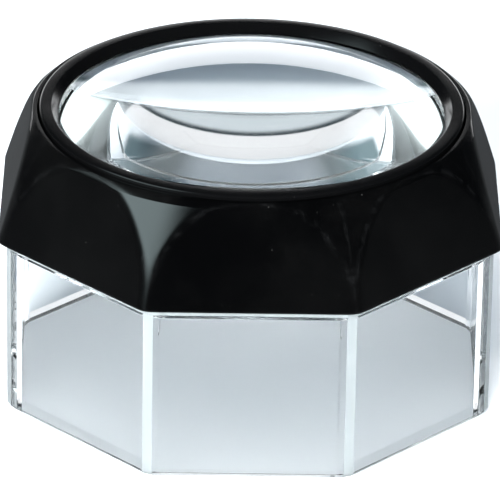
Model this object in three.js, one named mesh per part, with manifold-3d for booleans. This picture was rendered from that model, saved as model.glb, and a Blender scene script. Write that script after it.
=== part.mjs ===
// Octagonal stand magnifier: a clear skirt that stands on the page, and a black head that carries the lens.
// Lengths are in millimetres. Z = 0 is the page, and the optical axis is Z.
import * as THREE from 'three';
import { mergeVertices } from 'three/addons/utils/BufferGeometryUtils.js';
import Module from 'manifold-3d';

const wasm = await Module();
wasm.setup();

// Driving dimensions
const headAcrossFlats = 85;
const headOverhang = 1.55;
const baseHeight = 31.5;
const headHeight = 18.4;
const rimDiameter = 72;
const viewDiameter = 65.2;

// Clearances between pieces
const seamGap = 0.3;
const slideClearance = 0.3;
const seatClearance = 0.2;
const overrun = 5;

// Clear base
const baseWall = 3;
const baseBevel = 0.9;
const baseStripWidth = 1.7;
const shelfThickness = 2.4;
const collarWall = 2.2;
const collarHeight = 4.6;
const collarBevel = 0.4;

// Head: leaning flats, the dome that cuts them into arches, and the shoulder below the rim
const flatLeanSlope = 0.3;
const headCornerRadius = 1;
const domeArcRadius = 74;
const shoulderRadius = 38.2;
const shoulderDrop = 1.8;
const shoulderLip = 0.8;
const headWall = 2.3;
const socketWall = 3.6;

// Lens seat inside the head
const ledgeReach = 1;
const ledgeThickness = 1.2;
const cushionThickness = 0.9;
const cushionWidth = 0.9;

// Rim ring
const rimEdgeRadius = 0.5;
const rimBandWidth = 2.1;
const rimChamferDepth = 1.4;
const rimLipThickness = 0.3;

// Lens
const lensDiameter = 66.6;
const lensDomeRadius = 69;
const lensUndersideRadius = 87;
const lensEdgeThickness = 6.4;

// Facet counts
const sides = 8;
const roundSegments = 96;
const domeSteps = 14;
const lensSteps = 10;
const cornerSteps = 3;
const mergeTolerance = 1e-5;

const halfTurnOfSide = Math.PI / sides;
const baseAcrossFlats = headAcrossFlats - 2 * headOverhang;
const topHeight = baseHeight + headHeight;
const rimRadius = rimDiameter / 2;
const viewRadius = viewDiameter / 2;
const lensRadius = lensDiameter / 2;

function circumradius(acrossFlats) {
	return acrossFlats / 2 / Math.cos(halfTurnOfSide);
}

// A closed geometry becomes a solid once its doubled vertices are merged.
function solidOf(geometry) {
	const bare = geometry.clone();
	for (const name of Object.keys(bare.attributes)) {
		if (name !== 'position') bare.deleteAttribute(name);
	}
	const merged = mergeVertices(bare, mergeTolerance);
	return new wasm.Manifold(new wasm.Mesh({
		numProp: 3,
		vertProperties: new Float32Array(merged.attributes.position.array),
		triVerts: new Uint32Array(merged.index.array),
	}));
}

function geometryOf(solid) {
	const mesh = solid.getMesh();
	const geometry = new THREE.BufferGeometry();
	geometry.setAttribute('position', new THREE.BufferAttribute(new Float32Array(mesh.vertProperties), 3));
	geometry.setIndex(new THREE.BufferAttribute(new Uint32Array(mesh.triVerts), 1));
	geometry.computeVertexNormals();
	return geometry;
}

// One octagon at a height. A flat faces -Y, and each corner is an arc of the given radius:
// one step makes it a flat strip, more steps make it a fillet.
function octagon(acrossFlats, z, cornerRadius, steps) {
	const points = [];
	const centreRadius = circumradius(acrossFlats - 2 * cornerRadius);
	for (let side = 0; side < sides; side++) {
		const corner = (2 * side + 1) * halfTurnOfSide - Math.PI / 2;
		for (let step = 0; step <= steps; step++) {
			const angle = corner + (2 * step / steps - 1) * halfTurnOfSide;
			points.push(new THREE.Vector3(
				centreRadius * Math.cos(corner) + cornerRadius * Math.cos(angle),
				centreRadius * Math.sin(corner) + cornerRadius * Math.sin(angle),
				z,
			));
		}
	}
	return points;
}

// Skins a stack of octagons, lowest first, and closes both ends.
function loft(rings) {
	const count = rings[0].length;
	const positions = rings.flat().flatMap((point) => [point.x, point.y, point.z]);
	const index = [];
	for (let ring = 0; ring + 1 < rings.length; ring++) {
		for (let i = 0; i < count; i++) {
			const a = ring * count + i;
			const b = ring * count + (i + 1) % count;
			index.push(a, b, b + count, a, b + count, a + count);
		}
	}
	const last = (rings.length - 1) * count;
	for (let i = 1; i + 1 < count; i++) {
		index.push(0, i + 1, i);
		index.push(last, last + i, last + i + 1);
	}
	const geometry = new THREE.BufferGeometry();
	geometry.setAttribute('position', new THREE.Float32BufferAttribute(positions, 3));
	geometry.setIndex(index);
	return solidOf(geometry);
}

// Turns a profile of [radius, height] points about Z. It runs anticlockwise seen with Z up.
function turn(profile) {
	const points = profile.map(([radius, z]) => new THREE.Vector2(radius, z));
	const geometry = new THREE.LatheGeometry(points, roundSegments);
	geometry.rotateX(Math.PI / 2);
	return solidOf(geometry);
}

// A ring profile closes on itself.
function turnRing(profile) {
	return turn([...profile, profile[0]]);
}

// Points on the arc of the given radius between two profile points, bulging to the right of the way there.
function arcBetween(from, to, radius, steps) {
	const start = new THREE.Vector2(...from);
	const end = new THREE.Vector2(...to);
	const chord = end.clone().sub(start);
	const middle = start.clone().add(end).multiplyScalar(1 / 2);
	const inward = new THREE.Vector2(-chord.y, chord.x).normalize();
	const centre = middle.addScaledVector(inward, Math.sqrt(radius ** 2 - (chord.length() / 2) ** 2));
	const startAngle = start.clone().sub(centre).angle();
	let sweep = end.clone().sub(centre).angle() - startAngle;
	if (sweep < 0) sweep += 2 * Math.PI;
	const points = [];
	for (let step = 0; step <= steps; step++) {
		const angle = startAngle + sweep * step / steps;
		points.push([centre.x + radius * Math.cos(angle), centre.y + radius * Math.sin(angle)]);
	}
	return points;
}

function sag(radius, curveRadius) {
	return curveRadius - Math.sqrt(curveRadius ** 2 - radius ** 2);
}

function piece(name, solid, material) {
	const mesh = new THREE.Mesh(geometryOf(solid), material);
	mesh.name = name;
	return mesh;
}

// Heights of the lens seat, worked down from the rim
const lipTop = topHeight - rimChamferDepth;
const lipBottom = lipTop - rimLipThickness;
const lensEdgeTop = lipBottom - seatClearance - (sag(lensRadius, lensDomeRadius) - sag(viewRadius, lensDomeRadius));
const lensBottom = lensEdgeTop - lensEdgeThickness;
const cushionTop = lensBottom - seatClearance;
const ledgeTop = cushionTop - cushionThickness;
const ledgeBottom = ledgeTop - ledgeThickness;
const seatBoreRadius = rimRadius + slideClearance;
const skirtRadius = lensRadius + slideClearance;
const ledgeRadius = lensRadius - ledgeReach;

// Collar of the base and the socket of the head that slips over it
const socketAcrossFlats = headAcrossFlats - 2 * socketWall;
const collarAcrossFlats = socketAcrossFlats - 2 * slideClearance;
const stripCornerRadius = baseStripWidth / 2 / Math.sin(halfTurnOfSide);

function clearBase() {
	const strippedOctagon = (acrossFlats, z) => octagon(acrossFlats, z, stripCornerRadius, 1);
	const skirtTop = baseHeight - seamGap;
	const roomTop = skirtTop - shelfThickness;
	const collarTop = baseHeight + collarHeight;
	const skirt = loft([
		strippedOctagon(baseAcrossFlats - 2 * baseBevel, 0),
		strippedOctagon(baseAcrossFlats, baseBevel),
		strippedOctagon(baseAcrossFlats, skirtTop - baseBevel),
		strippedOctagon(baseAcrossFlats - 2 * baseBevel, skirtTop),
	]);
	const collar = loft([
		strippedOctagon(collarAcrossFlats, roomTop),
		strippedOctagon(collarAcrossFlats, collarTop - collarBevel),
		strippedOctagon(collarAcrossFlats - 2 * collarBevel, collarTop),
	]);
	const room = loft([
		strippedOctagon(baseAcrossFlats - 2 * baseWall, -overrun),
		strippedOctagon(baseAcrossFlats - 2 * baseWall, roomTop),
	]);
	const mouth = loft([
		strippedOctagon(collarAcrossFlats - 2 * collarWall, roomTop - overrun),
		strippedOctagon(collarAcrossFlats - 2 * collarWall, collarTop + overrun),
	]);
	return skirt.add(collar).subtract(room).subtract(mouth);
}

// The head's outer form, or the same form set in by a wall to hollow it out.
function headForm(inset, bottom, top) {
	const flats = (z) => octagon(
		headAcrossFlats - 2 * inset - 2 * flatLeanSlope * (z - baseHeight), z, headCornerRadius, cornerSteps);
	const shoulderHeight = topHeight - shoulderDrop;
	const domeArc = arcBetween(
		[circumradius(headAcrossFlats) - inset, baseHeight - inset],
		[shoulderRadius - inset, shoulderHeight - inset], domeArcRadius - inset, domeSteps);
	const dome = turn([
		[0, baseHeight - inset],
		...domeArc,
		[seatBoreRadius + shoulderLip - inset, topHeight - shoulderLip - inset],
		[0, topHeight - shoulderLip - inset],
	]);
	return loft([flats(bottom), flats(top)]).intersect(dome);
}

function hood() {
	const socket = loft([
		octagon(socketAcrossFlats, baseHeight - overrun, headCornerRadius, cornerSteps),
		octagon(socketAcrossFlats, baseHeight + collarHeight + slideClearance, headCornerRadius, cornerSteps),
	]);
	const seat = turn([
		[0, ledgeTop],
		[seatBoreRadius, ledgeTop],
		[seatBoreRadius, topHeight + overrun],
		[0, topHeight + overrun],
	]);
	const throat = turn([
		[0, baseHeight],
		[ledgeRadius, baseHeight],
		[ledgeRadius, ledgeTop + overrun],
		[0, ledgeTop + overrun],
	]);
	const hollow = headForm(headWall, baseHeight + collarHeight, ledgeBottom);
	const shell = headForm(0, baseHeight, topHeight).subtract(hollow);
	return shell.subtract(socket).subtract(seat).subtract(throat);
}

function rimRing() {
	return turnRing([
		[skirtRadius, ledgeTop],
		[rimRadius, ledgeTop],
		[rimRadius, topHeight - rimEdgeRadius],
		[rimRadius - rimEdgeRadius, topHeight],
		[rimRadius - rimBandWidth, topHeight],
		[viewRadius, lipTop],
		[viewRadius, lipBottom],
		[skirtRadius, lipBottom],
	]);
}

// One face of the lens from its edge to the axis, as a profile.
function lensFace(curveRadius, edgeHeight, rise) {
	const points = [];
	for (let step = 0; step <= lensSteps; step++) {
		const radius = lensRadius * (1 - step / lensSteps);
		points.push([radius, edgeHeight + rise * (sag(lensRadius, curveRadius) - sag(radius, curveRadius))]);
	}
	return points;
}

function lens() {
	const underside = lensFace(lensUndersideRadius, lensBottom, -1).reverse();
	return turn([...underside, ...lensFace(lensDomeRadius, lensEdgeTop, 1)]);
}

// A flat ring whose inner edge is thinner, so that the lens can bulge down over it.
function lensCushion() {
	const innerRadius = lensRadius - cushionWidth;
	const bulge = sag(lensRadius, lensUndersideRadius) - sag(innerRadius, lensUndersideRadius);
	return turnRing([
		[innerRadius, ledgeTop],
		[lensRadius, ledgeTop],
		[lensRadius, cushionTop],
		[innerRadius, cushionTop - bulge],
	]);
}

const acrylic = new THREE.MeshStandardMaterial({
	color: 0xe9f1f3, roughness: 0.05, metalness: 0, transparent: true, opacity: 0.35 });
const lensGlass = new THREE.MeshStandardMaterial({
	color: 0xf2f6f8, roughness: 0.02, metalness: 0, transparent: true, opacity: 0.35 });
const blackPlastic = new THREE.MeshStandardMaterial({ color: 0x0b0b0c, roughness: 0.2, metalness: 0 });
const softRubber = new THREE.MeshStandardMaterial({ color: 0x1b1b1b, roughness: 0.9, metalness: 0 });

const magnifier = new THREE.Group();
magnifier.add(piece('clear_base', clearBase(), acrylic));

const head = new THREE.Group();
head.add(piece('hood', hood(), blackPlastic));
head.add(piece('rim_ring', rimRing(), blackPlastic));
head.add(piece('lens', lens(), lensGlass));
head.add(piece('lens_cushion', lensCushion(), softRubber));
magnifier.add(head);

export default magnifier;
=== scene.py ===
import math

import bpy
import numpy as np
from mathutils import Matrix, Vector


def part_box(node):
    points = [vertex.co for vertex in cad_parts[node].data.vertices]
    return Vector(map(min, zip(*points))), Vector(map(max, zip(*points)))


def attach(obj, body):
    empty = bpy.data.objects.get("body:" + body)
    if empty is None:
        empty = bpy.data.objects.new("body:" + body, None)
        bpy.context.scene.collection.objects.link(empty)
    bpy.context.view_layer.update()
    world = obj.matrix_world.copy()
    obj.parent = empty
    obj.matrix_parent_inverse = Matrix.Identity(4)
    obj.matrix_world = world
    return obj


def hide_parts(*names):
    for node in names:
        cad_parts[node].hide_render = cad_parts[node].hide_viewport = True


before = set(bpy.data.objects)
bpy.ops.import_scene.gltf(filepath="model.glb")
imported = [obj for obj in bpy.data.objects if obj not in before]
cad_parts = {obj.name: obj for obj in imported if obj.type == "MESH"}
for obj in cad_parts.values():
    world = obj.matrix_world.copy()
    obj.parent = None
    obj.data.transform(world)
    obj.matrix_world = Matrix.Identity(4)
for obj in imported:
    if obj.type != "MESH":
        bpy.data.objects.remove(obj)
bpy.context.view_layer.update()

mm = 0.001
sideCount = 8
halfSide = math.pi / sideCount
fullTurn = 2 * math.pi
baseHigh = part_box("clear_base")[1]
hoodLow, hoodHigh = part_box("hood")
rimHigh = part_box("rim_ring")[1]
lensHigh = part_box("lens")[1]
cushionLow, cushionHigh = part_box("lens_cushion")
seamHeight = hoodLow.z
rimTop = rimHigh.z
rimRadius = rimHigh.x

# Camera: the view fitted to the seam corners, the bottom corners and the rim ellipses in the photograph.
view = {
    "distance": 0.9843,
    "azimuth": -0.478,
    "elevation": 26.242,
    "roll": 0.9875,
    "target": (0.0001, 0, 0.02232),
    "focalPixels": 5746.06,
    "framePixels": 500,
    "sensor": 36,
    "clipEnd": 30,
}


def addCamera():
    azimuth, elevation = math.radians(view["azimuth"]), math.radians(view["elevation"])
    back = Vector((
        math.sin(azimuth) * math.cos(elevation),
        -math.cos(azimuth) * math.cos(elevation),
        math.sin(elevation),
    ))
    data = bpy.data.cameras.new("photoCamera")
    data.sensor_width = view["sensor"]
    data.lens = view["focalPixels"] / view["framePixels"] * view["sensor"]
    data.clip_end = view["clipEnd"]
    camera = bpy.data.objects.new("photoCamera", data)
    bpy.context.scene.collection.objects.link(camera)
    aim = (-back).to_track_quat("-Z", "Y").to_matrix().to_4x4()
    spot = Matrix.Translation(Vector(view["target"]) + back * view["distance"])
    camera.matrix_world = spot @ aim @ Matrix.Rotation(math.radians(view["roll"]), 4, "Z")
    bpy.context.scene.camera = camera


addCamera()
print("camera set")


# Mesh helpers

def addMesh(name, points, quads):
    mesh = bpy.data.meshes.new(name)
    mesh.from_pydata(points.reshape(-1, 3).tolist(), [], quads.reshape(-1, 4).tolist())
    mesh.update()
    piece = bpy.data.objects.new(name, mesh)
    bpy.context.scene.collection.objects.link(piece)
    return piece


def ringGrid(name, rings, closed=True):
    # Rows of points round the axis, joined by quads to the row above and round the turn.
    # closed joins the last row to the first.
    rows, count = rings.shape[:2]
    row = np.arange(rows if closed else rows - 1)[:, None]
    column = np.arange(count)[None, :]
    above, beside = (row + 1) % rows, (column + 1) % count
    return addMesh(name, rings, np.stack([
        row * count + column, row * count + beside, above * count + beside, above * count + column], -1))


def sheetGrid(name, points):
    # An open sheet of points, joined by quads to the next row and the next column.
    rows, count = points.shape[:2]
    first = np.arange(rows - 1)[:, None] * count + np.arange(count - 1)[None, :]
    return addMesh(name, points, np.stack([first, first + 1, first + count + 1, first + count], -1))


def aroundAxis(radius, angle, height):
    # Points x, y and z from radii and angles round the axis and heights on it.
    radius, angle, height = np.broadcast_arrays(radius, angle, height)
    return np.stack([radius * np.cos(angle), radius * np.sin(angle), height], -1)


def turned(name, profile, count, closed=True):
    # A profile of (radius, height) carried round the axis.
    angle = np.linspace(0, fullTurn, count, endpoint=False)
    return ringGrid(name, aroundAxis(profile[:, :1], angle[None, :], profile[:, 1:]), closed)


def smoothShade(piece, flags=True):
    polygons = piece.data.polygons
    values = np.full(len(polygons), flags) if isinstance(flags, bool) else flags
    polygons.foreach_set("use_smooth", values)
    piece.data.update()


def roundedProfile(corners, radii, steps):
    # Each corner of the closed outline becomes an arc that touches both of its sides:
    # the arc's centre is on the bisector, and its ends lie radius / tan(half angle) from the corner.
    points, radii = np.array(corners, float), np.array(radii, float)
    before = np.roll(points, 1, 0) - points
    after = np.roll(points, -1, 0) - points
    before /= np.linalg.norm(before, axis=1)[:, None]
    after /= np.linalg.norm(after, axis=1)[:, None]
    half = np.arccos(np.clip((before * after).sum(1), -1, 1)) / 2
    bisector = before + after
    bisector /= np.linalg.norm(bisector, axis=1)[:, None]
    centre = points + bisector * (radii / np.sin(half))[:, None]
    share = np.linspace(-1, 1, steps + 1)[None, :, None]
    sweep = (math.pi / 2 - half)[:, None, None]
    side = (after - before) / np.linalg.norm(after - before, axis=1)[:, None]
    arcs = (centre[:, None] - bisector[:, None] * radii[:, None, None] * np.cos(share * sweep)
            + side[:, None] * radii[:, None, None] * np.sin(share * sweep))
    return arcs.reshape(-1, 2)


def softMin(first, second, width):
    # The smaller of two distances, with the crease between them rounded over the given width.
    overlap = np.maximum(width - np.abs(first - second), 0) / width
    return np.minimum(first, second) - overlap ** 2 * width / 4


def fromFlat(angle):
    # Angle from the middle of the nearest flat; one flat faces -Y.
    return (angle + math.pi / 2 + halfSide) % (2 * halfSide) - halfSide


def aroundFlats(eighth):
    # The lines of one eighth, repeated about the middle of each flat.
    middles = np.arange(sideCount) * 2 * halfSide - math.pi / 2
    return (middles[None, :, None] + eighth[:, None, :]).reshape(len(eighth), -1)


# Clear base: an octagonal skirt with a shelf and the collar that the head slips over.

base = {
    "wall": 3.0 * mm,
    "bevel": 0.9 * mm,
    "stripWidth": 1.7 * mm,
    "seamGap": 0.3 * mm,
    "shelf": 2.4 * mm,
    "collarAcrossFlats": 77.2 * mm,
    "collarWall": 2.2 * mm,
    "collarBevel": 0.4 * mm,
    "edgeRound": 0.09 * mm,
    "edgeSteps": 3,
    # Degrees from the middle of a flat: the few lines on it, the first, last and number of the many at its
    # rounded edge, those on the corner strip, and where the strip's satin finish begins.
    "flatLines": (3.0, 8.0, 13.0, 17.0, 19.5, 20.6),
    "edgeLines": (21.0, 21.75, 16),
    "stripLines": (22.1, 22.5),
    "satinFrom": 21.35,
}


def baseAngles():
    # One eighth is a flat, its rounded edges and half a corner strip at each side, mirrored about its middle.
    edge = np.linspace(*base["edgeLines"])
    half = np.radians(np.concatenate([base["flatLines"], edge, base["stripLines"]]))
    return aroundFlats(np.concatenate([-half[:-1][::-1], [0.0], half])[None, :])[0]


def strippedRadius(angle, apothem):
    # Distance to the flat, or to the narrow strip that cuts its corner, whichever is nearer.
    away = fromFlat(angle)
    cornerRadius = base["stripWidth"] / 2 / math.sin(halfSide)
    stripApothem = (apothem - cornerRadius) / math.cos(halfSide) + cornerRadius * math.cos(halfSide)
    toStrip = stripApothem / np.cos(halfSide - np.abs(away))
    return softMin(apothem / np.cos(away), toStrip, base["edgeRound"])


def makeBase():
    # The wall's outline through the middle of a flat, carried round the octagon. Each point keeps its height,
    # and its radius at every angle is that of strippedRadius.
    outer = baseHigh.x
    inner = outer - base["wall"]
    collar = base["collarAcrossFlats"] / 2
    mouth = collar - base["collarWall"]
    skirtTop = seamHeight - base["seamGap"]
    roomTop = skirtTop - base["shelf"]
    bevel, tip = base["bevel"], base["collarBevel"]
    corners = [
        (outer - bevel, 0), (outer, bevel), (outer, skirtTop - bevel), (outer - bevel, skirtTop),
        (collar, skirtTop), (collar, baseHigh.z - tip), (collar - tip, baseHigh.z),
        (mouth, baseHigh.z), (mouth, roomTop), (inner, roomTop), (inner, 0),
    ]
    # Corners count from 0, each with the straight stretch after it: the top bevel is the stretch of corner 2,
    # and the satin strip ends with the stretch of corner 3.
    topBevel, lastSatin = 2, 3
    steps = base["edgeSteps"]
    profile = roundedProfile(corners, [base["edgeRound"]] * len(corners), steps)
    angle = baseAngles()
    radius = strippedRadius(angle[None, :], profile[:, :1])
    piece = ringGrid("clearSkirt", aroundAxis(radius, angle[None, :], profile[:, 1:]))
    # Faces between two rounded corners or two rounded edges are flat; the others are shaded smooth.
    row, column = np.divmod(np.arange(len(piece.data.polygons)), len(angle))
    corner, step = np.divmod(row, steps + 1)
    away = np.degrees(np.abs(fromFlat((angle + np.roll(angle, -1)) / 2)))
    away[np.abs(angle - np.roll(angle, -1)) > math.pi] = math.degrees(halfSide)
    edgeStart, edgeEnd = base["edgeLines"][:2]
    straightRow = step == steps
    straightColumn = ((away < edgeStart) | (away > edgeEnd))[column]
    smoothShade(piece, ~(straightRow & straightColumn))
    onStrip = (away > base["satinFrom"])[column] & (corner <= lastSatin)
    onBevel = straightRow & (corner == topBevel)
    piece.data.polygons.foreach_set("material_index", (onStrip | onBevel).astype(np.int32))
    piece.data.update()
    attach(piece, "base")
    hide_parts("clear_base")
    return piece


# Head: leaning flats cut by a dome into arches, with a stepped shoulder where the rim ring sits.

hood = {
    "lean": 0.3,
    "domeArc": 74 * mm,
    "shoulderRadius": 38.2 * mm,
    "shoulderDrop": 1.8 * mm,
    "landDrop": 0.8 * mm,
    "landWidth": 0.8 * mm,
    "creaseRound": 0.42 * mm,
    "cornerRound": 1.1 * mm,
    "bottomRound": 0.3 * mm,
    "shoulderRound": 0.7 * mm,
    "landRound": 0.25 * mm,
    "boreRound": 0.12 * mm,
    "wall": 2.3 * mm,
    "collarHeight": 4.6 * mm,
    "slideClearance": 0.3 * mm,
    "socketBevel": 0.2 * mm,
    "ledgeRadius": 32.3 * mm,
    "ledgeThickness": 1.2 * mm,
    "ledgeBevel": 0.15 * mm,
    "wornEdge": 1 * mm,
    "guideDrop": 3 * mm,
    "leastCrease": math.radians(0.5),
    "cornerShare": 0.9,
    "flatLines": 13,
    "domeLines": 11,
    "wallRows": 64,
    "innerRows": 12,
    "roundSteps": 5,
}
ledgeTop = cushionLow.z
headApothem = hoodHigh.x
boreRadius = rimRadius + hood["slideClearance"]


def domeRadius(height, inset=0.0):
    # Radius of the dome at a height above the seam: an arc from the octagon's corner to the shoulder.
    start = np.array([headApothem / math.cos(halfSide), 0])
    end = np.array([hood["shoulderRadius"], rimTop - seamHeight - hood["shoulderDrop"]])
    chord = end - start
    inward = np.array([-chord[1], chord[0]]) / np.linalg.norm(chord)
    reach = math.sqrt(hood["domeArc"] ** 2 - (np.linalg.norm(chord) / 2) ** 2)
    centre = (start + end) / 2 + inward * reach
    return centre[0] + np.sqrt(hood["domeArc"] ** 2 - (height - centre[1]) ** 2) - inset


def headAngles(crease):
    # For each row, one eighth is mirrored about its flat's middle. Its lines gather at the crease: the angle
    # is crease * (1 - (1 - share) squared) before it, and crease + (half side - crease) * share squared after.
    share = np.linspace(0, 1, hood["flatLines"])[None, :]
    flat = crease[:, None] * (1 - (1 - share) ** 2)
    share = np.linspace(0, 1, hood["domeLines"])[None, 1:]
    dome = crease[:, None] + (halfSide - crease[:, None]) * share ** 2
    half = np.concatenate([flat, dome], 1)
    return aroundFlats(np.concatenate([-half[:, 1:-1][:, ::-1], half], 1))


def octagonRadius(apothem, angle):
    # Distances to the nearest flat and to the next one, and to both with a softened corner between them.
    away = fromFlat(angle)
    nearFlat = apothem[:, None] / np.cos(away)
    nextFlat = apothem[:, None] / np.cos(2 * halfSide - np.abs(away))
    return nearFlat, nextFlat, softMin(nearFlat, nextFlat, hood["cornerRound"])


def headRing(profileRadius, height, inset=0.0):
    # Rows of the head's form: at each angle the smaller of the distances to the flats, which lean in by
    # lean * height, and to the profile, with softened creases.
    # Returns the points and, for wear, how near each lies to a crease.
    apothem = headApothem - inset - hood["lean"] * height
    crease = np.arccos(np.clip(apothem / profileRadius, -1, 1))
    crease = np.clip(crease, hood["leastCrease"], halfSide - hood["leastCrease"])
    angle = headAngles(crease)
    nearFlat, nextFlat, flats = octagonRadius(apothem, angle)
    toDome, toCorner = np.abs(flats - profileRadius[:, None]), np.abs(nearFlat - nextFlat)
    radius = softMin(flats, profileRadius[:, None], hood["creaseRound"])
    nearness = np.exp(-np.minimum(toDome, toCorner) / hood["creaseRound"])
    return aroundAxis(radius, angle, seamHeight + height[:, None]), nearness


def roundRing(radius, height):
    # Plain round rows on the same number of lines as the head's form.
    angle = headAngles(np.full(len(radius), halfSide / 2))
    return aroundAxis(np.array(radius)[:, None], angle, np.array(height)[:, None])


def octagonRing(apothem, height):
    # Plain octagonal rows on the same number of lines.
    angle = headAngles(np.full(len(apothem), halfSide * hood["cornerShare"]))
    return aroundAxis(octagonRadius(np.array(apothem), angle)[2], angle, np.array(height)[:, None])


def makeHood():
    # One closed skin of rows: round the bottom edge, up the outside, over the shoulder, down the bore, round
    # the ledge, and down the inside to the socket.
    topAbove = rimTop - seamHeight
    shoulder = topAbove - hood["shoulderDrop"]
    land = topAbove - hood["landDrop"]
    bottom = hood["bottomRound"]
    turn = np.linspace(0, math.pi / 2, hood["roundSteps"] + 1)
    edgeHeight = bottom * (1 - np.cos(turn))
    edgeInset = bottom * (1 - np.sin(turn))
    edgeRings, edgeWear = headRing(domeRadius(edgeHeight) - edgeInset, edgeHeight)
    edgeRings[..., :2] *= (1 - edgeInset / headApothem)[:, None, None]
    rows = np.linspace(bottom, shoulder - hood["shoulderRound"], hood["wallRows"] + 1)[1:]
    wallRings, wallWear = headRing(domeRadius(rows), rows)
    # The first two corners only lead the dome into the shoulder, so their arcs are left out.
    guide = shoulder - hood["guideDrop"]
    outline = [
        (boreRadius, guide), (domeRadius(guide), guide), (hood["shoulderRadius"], shoulder),
        (boreRadius + hood["landWidth"], land), (boreRadius, land),
    ]
    radii = [0, 0, hood["shoulderRound"], hood["landRound"], hood["boreRound"]]
    arcs = roundedProfile(outline, radii, hood["roundSteps"])
    arcs = arcs.reshape(len(outline), -1, 2)[2:].reshape(-1, 2)
    arcs = arcs[arcs[:, 1] > rows[-1]]
    shoulderRings, shoulderWear = headRing(arcs[:, 0], arcs[:, 1])
    bevel = hood["ledgeBevel"]
    ledgeBottom = ledgeTop - hood["ledgeThickness"]
    ledgeInner = hood["ledgeRadius"]
    boreRings = roundRing(
        [boreRadius, ledgeInner + bevel, ledgeInner, ledgeInner, ledgeInner + bevel],
        [ledgeTop, ledgeTop, ledgeTop - bevel, ledgeBottom + bevel, ledgeBottom])
    socketTop = hood["collarHeight"] + hood["slideClearance"]
    innerHeights = np.linspace(ledgeBottom - seamHeight, socketTop, hood["innerRows"])
    innerRings = headRing(domeRadius(innerHeights, hood["wall"]), innerHeights, hood["wall"])[0]
    socket = base["collarAcrossFlats"] / 2 + hood["slideClearance"]
    bevel = hood["socketBevel"]
    socketRings = octagonRing(
        [socket, socket, socket + bevel], [seamHeight + socketTop, seamHeight + bevel, seamHeight])
    rings = np.concatenate([edgeRings, wallRings, shoulderRings, boreRings, innerRings, socketRings])
    piece = ringGrid("hoodShell", rings)
    wear = np.zeros(rings.shape[:2])
    bottomWear = np.exp(-edgeHeight / hood["wornEdge"])[:, None]
    outside = np.concatenate([edgeWear + bottomWear, wallWear, shoulderWear])
    wear[:len(outside)] = np.clip(outside, 0, 1)
    layer = piece.data.attributes.new("crease", "FLOAT", "POINT")
    layer.data.foreach_set("value", wear.ravel().astype(np.float32))
    smoothShade(piece)
    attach(piece, "head")
    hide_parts("hood")
    return piece


# Rim ring: a plain turned ring with a flat top band, an inner chamfer and a thin lip over the lens.

rim = {
    "band": 2.1 * mm,
    "outerRound": 0.5 * mm,
    "innerRound": 0.2 * mm,
    "lipRound": 0.1 * mm,
    "chamferDrop": 1.4 * mm,
    "lip": 0.3 * mm,
    "viewRadius": 32.6 * mm,
    "skirtRadius": 33.6 * mm,
    "lines": 320,
    "steps": 6,
}


def makeRim():
    # The outline of the ring's section, carried round the axis.
    lipTop = rimTop - rim["chamferDrop"]
    corners = [
        (rim["skirtRadius"], ledgeTop), (rimRadius, ledgeTop), (rimRadius, rimTop),
        (rimRadius - rim["band"], rimTop), (rim["viewRadius"], lipTop),
        (rim["viewRadius"], lipTop - rim["lip"]), (rim["skirtRadius"], lipTop - rim["lip"]),
    ]
    small = rim["lipRound"]
    radii = [small, small, rim["outerRound"], rim["innerRound"], small, small, small]
    piece = turned("rimBand", roundedProfile(corners, radii, rim["steps"]), rim["lines"])
    smoothShade(piece)
    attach(piece, "head")
    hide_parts("rim_ring")
    return piece


# Lens: a thick biconvex glass with a ground edge.

lens = {
    "topCurve": 69 * mm,
    "undersideCurve": 87 * mm,
    "edgeThickness": 6.4 * mm,
    "edgeBevel": 0.18 * mm,
    "poleMerge": 0.001 * mm,
    "lines": 288,
    "rows": 72,
}


def sag(radius, curve):
    # How far a sphere of the given curve has dropped at a distance from its axis.
    return curve - np.sqrt(curve ** 2 - radius ** 2)


def closePoles(piece):
    # The first and last rows lie on the axis, so merging their points closes both poles.
    bpy.context.view_layer.objects.active = piece
    merge = piece.modifiers.new("closePoles", "WELD")
    merge.merge_threshold = lens["poleMerge"]
    piece.select_set(True)
    bpy.ops.object.modifier_apply(modifier=merge.name)
    piece.select_set(False)


def makeLens():
    # Both faces are parts of spheres. The top's height is that of its edge plus the sag at the edge less the
    # sag at the radius, and the underside goes the other way with its own curve. A straight wall joins them.
    edge = lensHigh.x
    bevel = lens["edgeBevel"]
    radius = (edge - bevel) * np.linspace(0, 1, lens["rows"])
    edgeTop = lensHigh.z - sag(edge, lens["topCurve"])
    edgeBottom = edgeTop - lens["edgeThickness"]
    under = edgeBottom - sag(edge, lens["undersideCurve"]) + sag(radius, lens["undersideCurve"])
    over = edgeTop + sag(edge, lens["topCurve"]) - sag(radius, lens["topCurve"])
    wall = np.array([(edge, edgeBottom + bevel), (edge, edgeTop - bevel)])
    profile = np.concatenate([
        np.stack([radius, under], -1), wall, np.stack([radius[::-1], over[::-1]], -1)])
    piece = turned("domeLens", profile, lens["lines"], closed=False)
    # The ground rows are the wall and the bevel on either side of it.
    row = np.arange(len(piece.data.polygons)) // lens["lines"]
    ground = (row >= lens["rows"] - 1) & (row <= lens["rows"] + 1)
    piece.data.polygons.foreach_set("material_index", ground.astype(np.int32))
    smoothShade(piece, ~ground)
    closePoles(piece)
    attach(piece, "head")
    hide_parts("lens")
    return piece


# Cushion: a soft ring under the edge of the lens, thinner at its inner edge.

cushion = {
    "width": 0.9 * mm,
    "innerThickness": 0.54 * mm,
    "edgeRound": 0.12 * mm,
    "lines": 256,
    "steps": 4,
}


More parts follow.
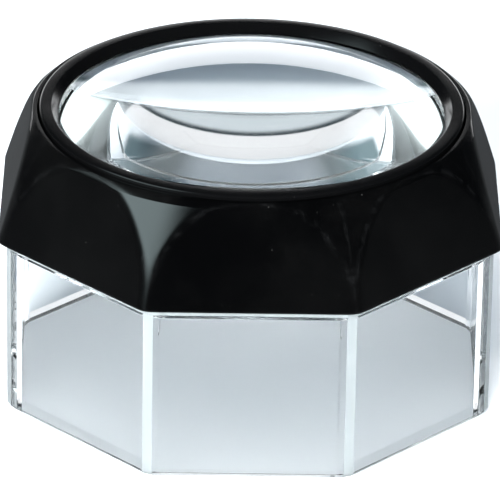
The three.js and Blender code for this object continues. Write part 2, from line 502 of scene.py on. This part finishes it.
def makeCushion():
    # The outline of the ring's section, carried round the axis.
    outer = cushionHigh.x
    inner = outer - cushion["width"]
    corners = [
        (inner, cushionLow.z), (outer, cushionLow.z), (outer, cushionHigh.z),
        (inner, cushionLow.z + cushion["innerThickness"]),
    ]
    profile = roundedProfile(corners, [cushion["edgeRound"]] * len(corners), cushion["steps"])
    piece = turned("cushionRing", profile, cushion["lines"])
    smoothShade(piece)
    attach(piece, "head")
    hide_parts("lens_cushion")
    return piece


skirtPiece = makeBase()
hoodPiece = makeHood()
rimPiece = makeRim()
lensPiece = makeLens()
cushionPiece = makeCushion()
print("pieces made")


# Materials: effects that several finishes share are node groups, each finish has its own shader and values.

def addNode(tree, kind, sockets=None, **settings):
    made = tree.nodes.new(kind)
    for name, value in settings.items():
        setattr(made, name, value)
    for name, value in (sockets or {}).items():
        if isinstance(value, bpy.types.NodeSocket):
            tree.links.new(value, made.inputs[name])
        else:
            made.inputs[name].default_value = value
    return made


def maths(tree, operation, first, second=0.0):
    return addNode(tree, "ShaderNodeMath", {0: first, 1: second}, operation=operation).outputs[0]


def product(tree, first, *others):
    for other in others:
        first = maths(tree, "MULTIPLY", first, other)
    return first


def weighed(tree, start, *parts):
    # The start value plus each part times its share.
    for part, share in parts:
        start = maths(tree, "ADD", start, product(tree, part, share))
    return start


def spread(tree, value, low, high, toLow=0.0, toHigh=1.0):
    ports = {"Value": value, "From Min": low, "From Max": high, "To Min": toLow, "To Max": toHigh}
    return addNode(tree, "ShaderNodeMapRange", ports, interpolation_type="SMOOTHSTEP").outputs["Result"]


def fade(tree, value, low, high):
    return spread(tree, value, low, high, 1.0, 0.0)


def span(tree, value, low, lowFull, highFull, high):
    # Rises between the first two limits and falls again between the last two.
    return product(tree, spread(tree, value, low, lowFull), fade(tree, value, highFull, high))


def mixColour(tree, share, first, second):
    made = addNode(tree, "ShaderNodeMix", data_type="RGBA")
    ports = [socket for socket in made.inputs if socket.enabled]
    for port, value in zip(ports, (share, first, second)):
        if isinstance(value, bpy.types.NodeSocket):
            tree.links.new(value, port)
        else:
            port.default_value = value
    return [socket for socket in made.outputs if socket.enabled][0]


def noise(tree, point, **ports):
    return addNode(tree, "ShaderNodeTexNoise", {"Vector": point, **ports}).outputs["Fac"]


def objectPoint(tree):
    return addNode(tree, "ShaderNodeTexCoord").outputs["Object"]


def partsOf(tree, vector):
    return addNode(tree, "ShaderNodeSeparateXYZ", {"Vector": vector}).outputs


def newGroup(name, inputs, outputs):
    group = bpy.data.node_groups.new(name, "ShaderNodeTree")
    for label, value in inputs.items():
        group.interface.new_socket(label, in_out="INPUT", socket_type="NodeSocketFloat").default_value = value
    for label in outputs:
        group.interface.new_socket(label, in_out="OUTPUT", socket_type="NodeSocketFloat")
    return group, addNode(group, "NodeGroupInput"), addNode(group, "NodeGroupOutput")


# Hairlines: a noise stretched along three directions and kept only near its middle value, in patches.
scratches = {
    "turns": ((0.4, 0.9, 0.2), (1.2, 0.3, 2.1), (2.2, 1.4, 0.9)),
    "offsets": (3.0, 7.0, 11.0),
    "stretch": (1.0, 1.0, 0.05),
    "middle": 0.5,
    "patchScale": 260.0,
    "patchLimit": 0.75,
    "coverReach": 0.4,
    "patchEdge": 0.12,
}
# Specks: small discs in random cells, more of them where the surface faces up, and a cloudy film.
specks = {
    "largest": 0.22,
    "core": 0.4,
    "upward": (-0.2, 0.9, 0.25, 1.0),
    "cloudScale": 55.0,
    "cloudRoughness": 0.65,
    "cloud": (0.35, 0.75),
}
# Moulded skin: broad smudges that change the gloss, and a fine unevenness for the bump.
skins = {"distortion": 0.6, "smudge": (0.35, 0.7)}
# Edge wear: the stored nearness to a crease, broken up by a noise.
wornCreases = {"near": (0.45, 1.0), "noiseRoughness": 0.7, "broken": (0.42, 0.66)}


def makeScratchGroup():
    group, ins, outs = newGroup("hairScratches", {"Scale": 90.0, "Width": 0.006, "Cover": 0.3}, ["Mask"])
    point = objectPoint(group)
    lines = []
    for turn, offset in zip(scratches["turns"], scratches["offsets"]):
        mapping = {"Vector": point, "Rotation": turn, "Scale": scratches["stretch"]}
        stretched = addNode(group, "ShaderNodeMapping", mapping).outputs["Vector"]
        streaks = addNode(group, "ShaderNodeTexNoise", {
            "Vector": stretched, "W": offset, "Scale": ins.outputs["Scale"], "Detail": 1.0,
        }, noise_dimensions="4D")
        away = maths(group, "ABSOLUTE", maths(group, "SUBTRACT", streaks.outputs["Fac"], scratches["middle"]))
        lines.append(fade(group, away, 0.0, ins.outputs["Width"]))
    union = maths(group, "MAXIMUM", maths(group, "MAXIMUM", lines[0], lines[1]), lines[2])
    patch = noise(group, point, Scale=scratches["patchScale"], Detail=2.0)
    limit = maths(group, "SUBTRACT", scratches["patchLimit"],
                  product(group, ins.outputs["Cover"], scratches["coverReach"]))
    shown = spread(group, patch, limit, maths(group, "ADD", limit, scratches["patchEdge"]))
    group.links.new(product(group, union, shown), outs.inputs["Mask"])
    return group


def makeDustGroup():
    group, ins, outs = newGroup("dustSpecks", {"Scale": 900.0, "Cover": 0.1, "Film": 0.1}, ["Specks", "Film"])
    point = objectPoint(group)
    cells = addNode(group, "ShaderNodeTexVoronoi", {"Vector": point, "Scale": ins.outputs["Scale"]})
    chance = addNode(group, "ShaderNodeSeparateColor", {"Color": cells.outputs["Color"]})
    size = product(group, chance.outputs["Green"], specks["largest"])
    disc = fade(group, cells.outputs["Distance"], product(group, size, specks["core"]), size)
    chosen = maths(group, "LESS_THAN", chance.outputs["Red"], ins.outputs["Cover"])
    facing = partsOf(group, addNode(group, "ShaderNodeNewGeometry").outputs["Normal"])["Z"]
    upward = spread(group, facing, *specks["upward"])
    cloud = noise(group, point, Scale=specks["cloudScale"], Detail=6.0, Roughness=specks["cloudRoughness"])
    film = product(group, spread(group, cloud, *specks["cloud"]), ins.outputs["Film"], upward)
    group.links.new(product(group, disc, chosen, upward), outs.inputs["Specks"])
    group.links.new(film, outs.inputs["Film"])
    return group


def makeSkinGroup():
    group, ins, outs = newGroup("mouldedSkin", {"Smudge": 30.0, "Peel": 700.0}, ["Smudges", "Height"])
    point = objectPoint(group)
    broad = noise(group, point, Scale=ins.outputs["Smudge"], Detail=4.0, Distortion=skins["distortion"])
    fine = noise(group, point, Scale=ins.outputs["Peel"], Detail=2.0)
    group.links.new(spread(group, broad, *skins["smudge"]), outs.inputs["Smudges"])
    group.links.new(fine, outs.inputs["Height"])
    return group


def makeEdgeGroup():
    group, ins, outs = newGroup("edgeWear", {"Crease": 0.0, "Amount": 0.5, "Scale": 420.0}, ["Mask"])
    grain = noise(group, objectPoint(group), Scale=ins.outputs["Scale"], Detail=5.0,
                  Roughness=wornCreases["noiseRoughness"])
    near = spread(group, ins.outputs["Crease"], *wornCreases["near"])
    broken = spread(group, grain, *wornCreases["broken"])
    group.links.new(product(group, near, broken, ins.outputs["Amount"]), outs.inputs["Mask"])
    return group


shared = {
    "scratches": makeScratchGroup(),
    "dust": makeDustGroup(),
    "skin": makeSkinGroup(),
    "edges": makeEdgeGroup(),
}


def useGroup(tree, name, **values):
    return addNode(tree, "ShaderNodeGroup", values, node_tree=shared[name]).outputs


def newFinish(name, shader):
    finish = bpy.data.materials.new(name)
    finish.use_nodes = True
    surface = finish.node_tree.nodes["Principled BSDF"]
    for label, value in shader.items():
        surface.inputs[label].default_value = value
    return finish, finish.node_tree, surface


def addBump(tree, surface, height, distance, strength=1.0):
    bump = addNode(tree, "ShaderNodeBump", {"Height": height, "Strength": strength, "Distance": distance})
    tree.links.new(bump.outputs["Normal"], surface.inputs["Normal"])


def addRoughness(tree, surface, values, **effects):
    # The finish's own roughness, plus each effect's mask times what the finish gives for it.
    parts = [(mask, values[label]) for label, mask in effects.items()]
    tree.links.new(weighed(tree, values["rough"], *parts), surface.inputs["Roughness"])


def addEvenRoughness(tree, surface, values, mask, low=0.0, high=1.0):
    # Eases from the finish's own roughness, at the mask's low limit, to its roughest at the high one.
    rough = spread(tree, mask, low, high, values["rough"], values["roughest"])
    tree.links.new(rough, surface.inputs["Roughness"])


# Values of each finish: its plain shader sockets, its colours, its roughness with what each effect adds to
# it, how much of the dust shows, and its bump.
finishes = {
    "gloss": {
        "shader": {"IOR": 1.49, "Specular IOR Level": 0.32},
        "body": (0.0004, 0.0004, 0.00045, 1), "worn": (0.014, 0.014, 0.0145, 1),
        "rough": 0.15, "smudge": 0.05, "scratch": 0.08, "wornRough": 0.25,
        "specks": 0.08, "film": 0.15, "bump": 0.004 * mm, "bumpStrength": 0.5,
    },
    "satin": {
        "shader": {"IOR": 1.5, "Specular IOR Level": 0.13},
        "body": (0.0015, 0.0015, 0.0016, 1),
        "rough": 0.15, "smudge": 0.06, "scratch": 0.1,
        "specks": 0.1, "bump": 0.01 * mm, "bumpStrength": 0.6,
    },
    "rubber": {
        "shader": {"IOR": 1.5},
        "body": (0.014, 0.014, 0.0145, 1),
        "rough": 0.66, "roughest": 0.8, "film": 0.4, "bump": 0.03 * mm,
    },
    "clear": {
        "shader": {"Base Color": (0.975, 0.988, 0.995, 1), "IOR": 1.49, "Transmission Weight": 1.0},
        "rough": 0.0, "smudge": 0.012, "scratch": 0.16,
    },
    "frosted": {
        "shader": {"Base Color": (0.42, 0.45, 0.455, 1), "IOR": 1.49, "Transmission Weight": 0.7},
        "rough": 0.5, "roughest": 0.6, "bump": 0.01 * mm,
    },
    "glass": {
        "shader": {"Base Color": (0.92, 0.95, 0.955, 1), "IOR": 1.52, "Transmission Weight": 1.0},
        "rough": 0.0, "smudge": 0.006, "specks": 0.12,
    },
    "ground": {
        "shader": {"Base Color": (0.5, 0.53, 0.53, 1), "IOR": 1.52, "Transmission Weight": 0.6},
        "rough": 0.55, "roughest": 0.75, "grain": (0.3, 0.7), "bump": 0.02 * mm,
    },
}
dustTone = (0.34, 0.33, 0.31, 1)


def blackGloss():
    values = finishes["gloss"]
    finish, tree, surface = newFinish("blackGloss", values["shader"])
    crease = addNode(tree, "ShaderNodeAttribute", attribute_name="crease").outputs["Fac"]
    edges = useGroup(tree, "edges", Crease=crease, Amount=0.15, Scale=520.0)
    hairs = useGroup(tree, "scratches", Scale=75.0, Width=0.004, Cover=0.35)
    dust = useGroup(tree, "dust", Scale=1500.0, Cover=0.05, Film=0.03)
    skin = useGroup(tree, "skin", Smudge=26.0, Peel=900.0)
    dusty = weighed(tree, 0.0, (dust["Specks"], values["specks"]), (dust["Film"], values["film"]))
    colour = mixColour(tree, edges["Mask"], values["body"], values["worn"])
    tree.links.new(mixColour(tree, dusty, colour, dustTone), surface.inputs["Base Color"])
    addRoughness(tree, surface, values, smudge=skin["Smudges"], scratch=hairs["Mask"],
                 wornRough=edges["Mask"])
    addBump(tree, surface, skin["Height"], values["bump"], values["bumpStrength"])
    return finish


def blackSatin():
    values = finishes["satin"]
    finish, tree, surface = newFinish("blackSatin", values["shader"])
    hairs = useGroup(tree, "scratches", Scale=110.0, Width=0.006, Cover=0.4)
    dust = useGroup(tree, "dust", Scale=1300.0, Cover=0.07, Film=0.06)
    skin = useGroup(tree, "skin", Smudge=40.0, Peel=1600.0)
    dusty = product(tree, dust["Specks"], values["specks"])
    tree.links.new(mixColour(tree, dusty, values["body"], dustTone), surface.inputs["Base Color"])
    addRoughness(tree, surface, values, smudge=skin["Smudges"], scratch=hairs["Mask"])
    addBump(tree, surface, skin["Height"], values["bump"], values["bumpStrength"])
    return finish


def blackRubber():
    values = finishes["rubber"]
    finish, tree, surface = newFinish("blackRubber", values["shader"])
    skin = useGroup(tree, "skin", Smudge=60.0, Peel=2600.0)
    dust = useGroup(tree, "dust", Scale=1600.0, Cover=0.1, Film=0.15)
    dusty = product(tree, dust["Film"], values["film"])
    tree.links.new(mixColour(tree, dusty, values["body"], dustTone), surface.inputs["Base Color"])
    addEvenRoughness(tree, surface, values, skin["Smudges"])
    addBump(tree, surface, skin["Height"], values["bump"])
    return finish


def clearAcrylic():
    values = finishes["clear"]
    finish, tree, surface = newFinish("clearAcrylic", values["shader"])
    hairs = useGroup(tree, "scratches", Scale=70.0, Width=0.003, Cover=0.3)
    skin = useGroup(tree, "skin", Smudge=34.0, Peel=500.0)
    addRoughness(tree, surface, values, scratch=hairs["Mask"], smudge=skin["Smudges"])
    return finish


def frostedAcrylic():
    values = finishes["frosted"]
    finish, tree, surface = newFinish("frostedAcrylic", values["shader"])
    skin = useGroup(tree, "skin", Smudge=90.0, Peel=3000.0)
    addEvenRoughness(tree, surface, values, skin["Smudges"])
    addBump(tree, surface, skin["Height"], values["bump"])
    return finish


def lensGlass():
    values = finishes["glass"]
    finish, tree, surface = newFinish("lensGlass", values["shader"])
    skin = useGroup(tree, "skin", Smudge=22.0, Peel=500.0)
    dust = useGroup(tree, "dust", Scale=700.0, Cover=0.03, Film=0.0)
    addRoughness(tree, surface, values, smudge=skin["Smudges"], specks=dust["Specks"])
    return finish


def groundGlass():
    values = finishes["ground"]
    finish, tree, surface = newFinish("groundGlass", values["shader"])
    skin = useGroup(tree, "skin", Smudge=120.0, Peel=4000.0)
    addEvenRoughness(tree, surface, values, skin["Height"], *values["grain"])
    addBump(tree, surface, skin["Height"], values["bump"])
    return finish


for piece, makers in (
        (skirtPiece, (clearAcrylic, frostedAcrylic)), (hoodPiece, (blackGloss,)), (rimPiece, (blackSatin,)),
        (lensPiece, (lensGlass, groundGlass)), (cushionPiece, (blackRubber,))):
    for make in makers:
        piece.data.materials.append(make())
print("materials made")


# Studio: a pale floor, lamps for the floor, a weak sky, and two sets of panels that only gloss and glass see.

studio = {
    "lampDistance": 2.5,
    "lampRows": 5,
    "lampColumns": 15,
    "bounces": 24,
}
# Middle azimuth, half width, lowest and highest elevation, light.
lamps = {
    "key": (-7, 9, 50, 56, (138, 138, 138)),
    "fill": (-28, 16, 18, 27, (92, 98, 100)),
    "weakFill": (4, 40, 18, 27, (20, 21.5, 22)),
    "leftBack": (-115, 15, 10, 20, (5, 5.2, 5.4)),
    "rightBack": (115, 15, 10, 20, (10, 10.4, 10.8)),
}
# What the black gloss and the top of the lens mirror: the same, with the softness of the low and high edges
# before the light, and after it how many degrees the high edge sinks from the middle of a panel to its side.
mirrored = {
    "backdrop": (180, 52, -8, 19.6, 2, 0.5, (3.3, 3.35, 3.4), 45),
    "leftPanel": (-62, 22, 12, 46, 5, 8, (6.0, 7.5, 7.7), 0),
    "dimRoom": (0, 181, -90, 91, 1, 1, (0.01, 0.013, 0.016), 0),
}
# What is seen through the clear parts.
throughGlass = {
    "backdrop": (180, 52, -8, 23, 2, 0.6, (0.94, 0.92, 0.93), 0),
    "upperPanel": (180, 56, 26.5, 41, 2, 6, (0.66, 0.71, 0.74), 0),
    "frontPanel": (0, 38, 5, 58, 4, 4, (3.0, 3.0, 2.9), 0),
    "leftPanel": (-62, 22, 12, 46, 5, 8, (1.6, 1.8, 1.8), 0),
    "rightPanel": (76, 27, 12, 52, 4, 6, (1.6, 1.8, 1.8), 0),
    "dimRoom": (0, 181, -90, 91, 1, 1, (0.07, 0.09, 0.1), 0),
}
# The weak light from all round that fills the shadows.
openSky = (0.085, 0.145, 0.22, 1)
cameraWhite = (1, 1, 1, 1)

# The floor's own values, then how much of it the gloss mirrors and where it mirrors it in full, then the tone
# of a painted shadow and where and by which rays it darkens the floor. With four limits, that rises between
# the first two and falls between the others.
floor = {
    "half": 1.6,
    "lines": 9,
    "drop": 0.05 * mm,
    "shader": {"Roughness": 0.85, "IOR": 1.35, "Specular IOR Level": 0.0},
    "tone": (0.88, 0.88, 0.88, 1),
    "darkerTone": (0.8668, 0.8668, 0.8668, 1),
    "grainScale": 14.0,
    "mirroredShare": 0.08,
    "fullBehind": (95 * mm, 110 * mm),
    "fullAcross": (32 * mm, 60 * mm),
    "paintedShadowTone": (0.11, 0.155, 0.165, 1),
    "paintedShadowBehind": (40 * mm, 47 * mm, 64 * mm, 74 * mm),
    "paintedShadowAcross": (12 * mm, 24 * mm, 54 * mm, 62 * mm),
    "paintedShadowFall": (0.27, 0.33),
    "paintedShadowOutward": (0.15, 0.28),
}
# Ray depths are whole numbers, so each limit lies halfway between two of them.
noneYet = 0.5
sixSurfaces = 6.5


def makeFloor():
    share = np.linspace(-floor["half"], floor["half"], floor["lines"])
    across, along = np.meshgrid(share, share)
    sheet = sheetGrid("studioFloor", np.stack([across, along, np.full_like(across, -floor["drop"])], -1))
    finish, tree, surface = newFinish("palePaper", floor["shader"])
    point = objectPoint(tree)
    rays = addNode(tree, "ShaderNodeLightPath").outputs
    spot = partsOf(tree, point)
    aside = maths(tree, "ABSOLUTE", spot["X"])
    # A painted shadow deepens the head's shadow at its two sides, which the lens bends into dark arcs. Only
    # rays that come through glass, fall steeply and spread outwards see it, as those that the lens has bent
    # do.
    fall = partsOf(tree, addNode(tree, "ShaderNodeNewGeometry").outputs["Incoming"])
    steep = spread(tree, fall["Z"], *floor["paintedShadowFall"])
    outward = product(tree, fall["X"], maths(tree, "SIGN", spot["X"]), -1.0)
    bent = product(tree, steep, spread(tree, outward, *floor["paintedShadowOutward"]))
    # The mask of the painted shadow: where it lies behind the head, and which rays see it.
    deep = product(tree, span(tree, spot["Y"], *floor["paintedShadowBehind"]), span(tree, aside, *floor["paintedShadowAcross"]),
                   bent, rays["Is Transmission Ray"])
    grain = noise(tree, point, Scale=floor["grainScale"], Detail=5.0)
    paper = mixColour(tree, grain, floor["darkerTone"], floor["tone"])
    # The painted shadow turns the paper's colour to a dark tone where its mask is set.
    tree.links.new(mixColour(tree, deep, paper, floor["paintedShadowTone"]), surface.inputs["Base Color"])
    # The gloss mirrors the floor dimly, so its flats stay as deep as in the photograph, except behind the
    # object, where the top of the lens mirrors it.
    onGloss = product(tree, rays["Is Glossy Ray"], maths(tree, "SUBTRACT", 1.0, rays["Is Transmission Ray"]))
    behind = product(tree, spread(tree, spot["Y"], *floor["fullBehind"]),
                     fade(tree, aside, *floor["fullAcross"]))
    dimmed = product(tree, maths(tree, "SUBTRACT", 1.0, behind), 1 - floor["mirroredShare"])
    shade = product(tree, onGloss, dimmed)
    dark = addNode(tree, "ShaderNodeBsdfDiffuse", {"Color": (0, 0, 0, 1)}).outputs[0]
    mixed = addNode(tree, "ShaderNodeMixShader", {0: shade, 1: surface.outputs[0], 2: dark}).outputs[0]
    tree.links.new(mixed, tree.nodes["Material Output"].inputs["Surface"])
    sheet.data.materials.append(finish)


def makeLamp(name, azimuth, half, low, high, light):
    # A piece of a sphere round the object, between two azimuths and two elevations, that shines inwards.
    # Azimuth 0 is -Y, a quarter turn behind the angle round the axis.
    turn = np.radians(np.linspace(azimuth - half, azimuth + half, studio["lampColumns"]))[None, :]
    tilt = np.radians(np.linspace(high, low, studio["lampRows"]))[:, None]
    reach = studio["lampDistance"]
    lamp = sheetGrid(name, aroundAxis(reach * np.cos(tilt), turn - math.pi / 2, reach * np.sin(tilt)))
    glow = bpy.data.materials.new(name)
    glow.use_nodes = True
    tree = glow.node_tree
    tree.nodes.clear()
    # Of the rays that come through glass, only those that have left a matt surface and crossed six clear ones
    # at most see a lamp, so no lamp shows in the lens.
    rays = addNode(tree, "ShaderNodeLightPath").outputs
    direct = maths(tree, "LESS_THAN", rays["Diffuse Depth"], noneYet)
    deep = maths(tree, "GREATER_THAN", rays["Transmission Depth"], sixSurfaces)
    hidden = product(tree, rays["Is Transmission Ray"], maths(tree, "MAXIMUM", direct, deep))
    shine = addNode(tree, "ShaderNodeEmission", {"Color": tuple(light) + (1,), "Strength": 1.0}).outputs[0]
    clear = addNode(tree, "ShaderNodeBsdfTransparent").outputs[0]
    mixed = addNode(tree, "ShaderNodeMixShader", {0: hidden, 1: shine, 2: clear}).outputs[0]
    addNode(tree, "ShaderNodeOutputMaterial", {"Surface": mixed})
    lamp.data.materials.append(glow)
    lamp.visible_camera = False
    lamp.visible_glossy = False
    lamp.visible_shadow = False


def panelLight(tree, heading, elevation, azimuth, half, low, high, softLow, softHigh, light, sink):
    # One window of light: within half of its azimuth and between two elevations, with softened edges.
    turn = math.radians(azimuth)
    half, low, high, softLow, softHigh, sink = (
        math.radians(value) for value in (half, low, high, softLow, softHigh, sink))
    facing = addNode(tree, "ShaderNodeVectorMath", {0: heading, 1: (math.sin(turn), -math.cos(turn), 0)},
                     operation="DOT_PRODUCT").outputs["Value"]
    aside = maths(tree, "ARCCOSINE", facing)
    # The high edge is level in the middle and sinks with the square of the angle to the side.
    lifted = weighed(tree, elevation, (maths(tree, "POWER", aside, 2.0), sink / half ** 2))
    inside = product(tree, fade(tree, aside, half - softHigh, half + softHigh),
                     spread(tree, elevation, low - softLow, low + softLow),
                     fade(tree, lifted, high - softHigh, high + softHigh))
    return addNode(tree, "ShaderNodeVectorMath", {0: light, "Scale": inside}, operation="SCALE").outputs[0]


def addPanels(tree, panels):
    toward = addNode(tree, "ShaderNodeTexCoord").outputs["Generated"]
    flat = addNode(tree, "ShaderNodeVectorMath", {0: toward, 1: (1, 1, 0)}, operation="MULTIPLY").outputs[0]
    heading = addNode(tree, "ShaderNodeVectorMath", {0: flat}, operation="NORMALIZE").outputs[0]
    elevation = maths(tree, "ARCSINE", partsOf(tree, toward)["Z"])
    total = (0, 0, 0)
    for values in panels.values():
        light = panelLight(tree, heading, elevation, *values)
        total = addNode(tree, "ShaderNodeVectorMath", {0: total, 1: light}, operation="ADD").outputs[0]
    return addNode(tree, "ShaderNodeBackground", {"Color": total}).outputs[0]


def makeSurroundings():
    # The camera sees white, and gloss and glass see their panels. Matt surfaces, and all rays that have left
    # one, see the weak sky.
    world = bpy.data.worlds.new("whiteRoom")
    world.use_nodes = True
    tree = world.node_tree
    tree.nodes.clear()
    rays = addNode(tree, "ShaderNodeLightPath").outputs
    plain = addNode(tree, "ShaderNodeBackground", {"Color": cameraWhite}).outputs[0]
    sky = addNode(tree, "ShaderNodeBackground", {"Color": openSky}).outputs[0]
    inGlass = maths(tree, "GREATER_THAN", rays["Transmission Depth"], noneYet)
    seen = addNode(tree, "ShaderNodeMixShader", {
        0: inGlass, 1: addPanels(tree, mirrored), 2: addPanels(tree, throughGlass)}).outputs[0]
    sharp = product(tree, maths(tree, "MAXIMUM", rays["Is Glossy Ray"], rays["Is Transmission Ray"]),
                    maths(tree, "LESS_THAN", rays["Diffuse Depth"], noneYet))
    room = addNode(tree, "ShaderNodeMixShader", {0: sharp, 1: sky, 2: seen}).outputs[0]
    both = addNode(tree, "ShaderNodeMixShader", {0: rays["Is Camera Ray"], 1: room, 2: plain}).outputs[0]
    addNode(tree, "ShaderNodeOutputWorld", {"Surface": both})
    bpy.context.scene.world = world


makeFloor()
for name, values in lamps.items():
    makeLamp(name + "Lamp", *values)
makeSurroundings()
scene = bpy.context.scene
scene.view_settings.view_transform = "Standard"
scene.cycles.max_bounces = studio["bounces"]
scene.cycles.transmission_bounces = studio["bounces"]
# Light that is mirrored inside the clear walls counts as gloss, so gloss gets as many bounces.
scene.cycles.glossy_bounces = studio["bounces"]
print("studio made")
